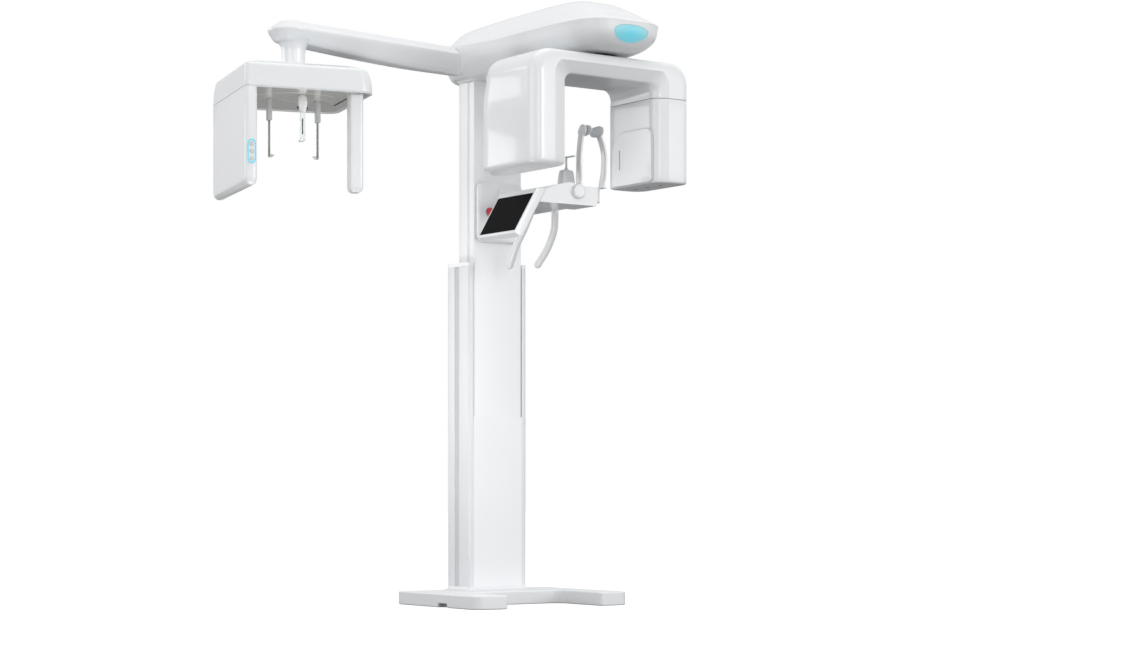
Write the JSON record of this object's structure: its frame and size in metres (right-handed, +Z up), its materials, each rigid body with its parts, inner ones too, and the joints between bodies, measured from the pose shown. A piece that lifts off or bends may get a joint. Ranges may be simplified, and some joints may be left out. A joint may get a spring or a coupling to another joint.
{
  "type": "panoramic x-ray machine",
  "caption": "Column-mounted dental panoramic x-ray unit: rotating C-arm, chin and temple rests, tilted touch screen and a cephalometric side arm on a lifting mast.",
  "frame": {"origin": "on the floor under the column's axis", "axes": "+Z up; -Y towards the patient's side, where the C-arm hangs; the cephalometric arm reaches out to -X"},
  "size_m": [1.6492, 1.2125, 2.362],
  "materials": {
    "iron_powder_coat": "white powder coat",
    "column_powder_coat": "white powder coat",
    "white_gloss_shell": "gloss",
    "neck_casting": "white gloss",
    "grey_trim": "satin",
    "light_grey_plastic": "satin",
    "pale_underside": "gloss",
    "black_glass": "gloss",
    "cyan_lens": "lit",
    "red_button": "gloss",
    "clear_plastic": "clear",
    "machined_steel": "machined",
    "machined_aluminium": "machined"
  },
  "bodies": {
    "stand": {"base_plate": "iron_powder_coat", "column_plinth": "white_gloss_shell", "lower_column": "column_powder_coat", "lower_column_cap": "white_gloss_shell", "lower_front_cover": "column_powder_coat", "side_trim_left": "grey_trim", "side_trim_right": "grey_trim", "lift_actuator": "machined_steel", "guide_rail": "machined_steel", "power_unit": "grey_trim"},
    "lift": {"upper_column": "column_powder_coat", "guide_shoe": "machined_aluminium", "lift_rod": "machined_steel", "rod_bracket": "machined_aluminium", "carriage_pad": "white_gloss_shell", "chin_arm": "white_gloss_shell", "screen_housing": "white_gloss_shell", "touch_screen": "black_glass", "handle_left": "white_gloss_shell", "handle_right": "white_gloss_shell", "head_hull": "white_gloss_shell", "light_lens": "cyan_lens", "head_cover": "white_gloss_shell", "head_frame": "machined_aluminium", "slewing_ring": "machined_steel", "rotation_motor": "machined_steel", "head_collar": "white_gloss_shell", "ceph_arm": "white_gloss_shell", "ceph_neck": "neck_casting", "ceph_housing": "white_gloss_shell", "ceph_underside": "pale_underside", "sensor_block": "white_gloss_shell", "ceph_sensor": "grey_trim", "key_panel": "grey_trim"},
    "rotor": {"arch_shell": "white_gloss_shell", "detector_shell": "white_gloss_shell", "detector_cover": "white_gloss_shell", "detector_panel": "grey_trim", "tube_head": "grey_trim", "tube_port": "light_grey_plastic", "rotor_hub": "machined_aluminium", "rotor_pulley": "machined_aluminium"},
    "pinion": {"drive_pinion": "machined_steel"},
    "chin_support": {"chin_rest": "light_grey_plastic", "bite_post": "light_grey_plastic"},
    "temple_left": {"temple_arm_left": "white_gloss_shell", "temple_pad_left": "light_grey_plastic"},
    "temple_right": {"temple_arm_right": "white_gloss_shell", "temple_pad_right": "light_grey_plastic"},
    "knob": {"temple_knob": "light_grey_plastic"},
    "stop_button": {"estop_button": "red_button"},
    "positioner": {"positioner_disc": "light_grey_plastic"},
    "ear_left": {"ear_arm_left": "white_gloss_shell"},
    "ear_right": {"ear_arm_right": "white_gloss_shell"},
    "nasion": {"nasion_holder": "white_gloss_shell", "nasion_blade": "clear_plastic"},
    "post": {"collimator_post": "white_gloss_shell"},
    "key_top": {"key_1": "light_grey_plastic"},
    "key_middle": {"key_2": "light_grey_plastic"},
    "key_bottom": {"key_3": "light_grey_plastic"}
  },
  "joints": [
    {"name": "lift_travel", "type": "slide", "parent": "stand", "child": "lift", "axis": [0, 0, 1], "range_m": [-0.6, 0.02]},
    {"name": "rotor_turn", "type": "hinge", "parent": "lift", "child": "rotor", "pos_m": [0, -0.74, 2.15], "axis": [0, 0, 1], "range_deg": [-180, 180]},
    {"name": "pinion_turn", "type": "hinge", "parent": "lift", "child": "pinion", "pos_m": [0, -0.6217, 2.19], "axis": [0, 0, 1], "range_deg": [-884, 884]},
    {"name": "chin_height", "type": "slide", "parent": "lift", "child": "chin_support", "axis": [0, 0, 1], "range_m": [-0.012, 0.03]},
    {"name": "knob_turn", "type": "hinge", "parent": "lift", "child": "knob", "pos_m": [-0.078, -0.768, 1.611], "axis": [0, -1, 0], "range_deg": [-40, 90]},
    {"name": "temple_left_slide", "type": "slide", "parent": "lift", "child": "temple_left", "axis": [1, 0, 0], "range_m": [-0.0081, 0.0181]},
    {"name": "temple_right_slide", "type": "slide", "parent": "lift", "child": "temple_right", "axis": [-1, 0, 0], "range_m": [-0.0081, 0.0181]},
    {"name": "stop_press", "type": "slide", "parent": "lift", "child": "stop_button", "axis": [0, 1, 0], "range_m": [0, 0.004], "stiffness_N_per_m": 800, "springref_m": -0.002},
    {"name": "positioner_turn", "type": "hinge", "parent": "lift", "child": "positioner", "pos_m": [-0.9637, -0.1183, 1.965], "axis": [0, 0, 1], "range_deg": [-90, 90]},
    {"name": "ear_left_slide", "type": "slide", "parent": "positioner", "child": "ear_left", "axis": [0.9688, -0.2478, 0], "range_m": [-0.03, 0.06]},
    {"name": "ear_right_slide", "type": "slide", "parent": "positioner", "child": "ear_right", "axis": [-0.9688, 0.2478, 0], "range_m": [-0.03, 0.06]},
    {"name": "nasion_slide", "type": "slide", "parent": "positioner", "child": "nasion", "axis": [0.2478, 0.9688, 0], "range_m": [0, 0.04]},
    {"name": "post_travel", "type": "slide", "parent": "lift", "child": "post", "axis": [0.2478, 0.9688, 0], "range_m": [0, 0.29]},
    {"name": "key_top_press", "type": "slide", "parent": "lift", "child": "key_top", "axis": [0.2478, 0.9688, 0], "range_m": [0, 0.0011], "stiffness_N_per_m": 500, "springref_m": -0.0006},
    {"name": "key_middle_press", "type": "slide", "parent": "lift", "child": "key_middle", "axis": [0.2478, 0.9688, 0], "range_m": [0, 0.0011], "stiffness_N_per_m": 500, "springref_m": -0.0006},
    {"name": "key_bottom_press", "type": "slide", "parent": "lift", "child": "key_bottom", "axis": [0.2478, 0.9688, 0], "range_m": [0, 0.0011], "stiffness_N_per_m": 500, "springref_m": -0.0006}
  ],
  "couplings": [
    {"joint": "pinion_turn", "follows": "rotor_turn", "ratio": -4.9},
    {"joint": "temple_left_slide", "follows": "knob_turn", "m_per_rad": 0.01146},
    {"joint": "temple_right_slide", "follows": "knob_turn", "m_per_rad": 0.01146},
    {"joint": "ear_right_slide", "follows": "ear_left_slide", "ratio": 1}
  ]
}
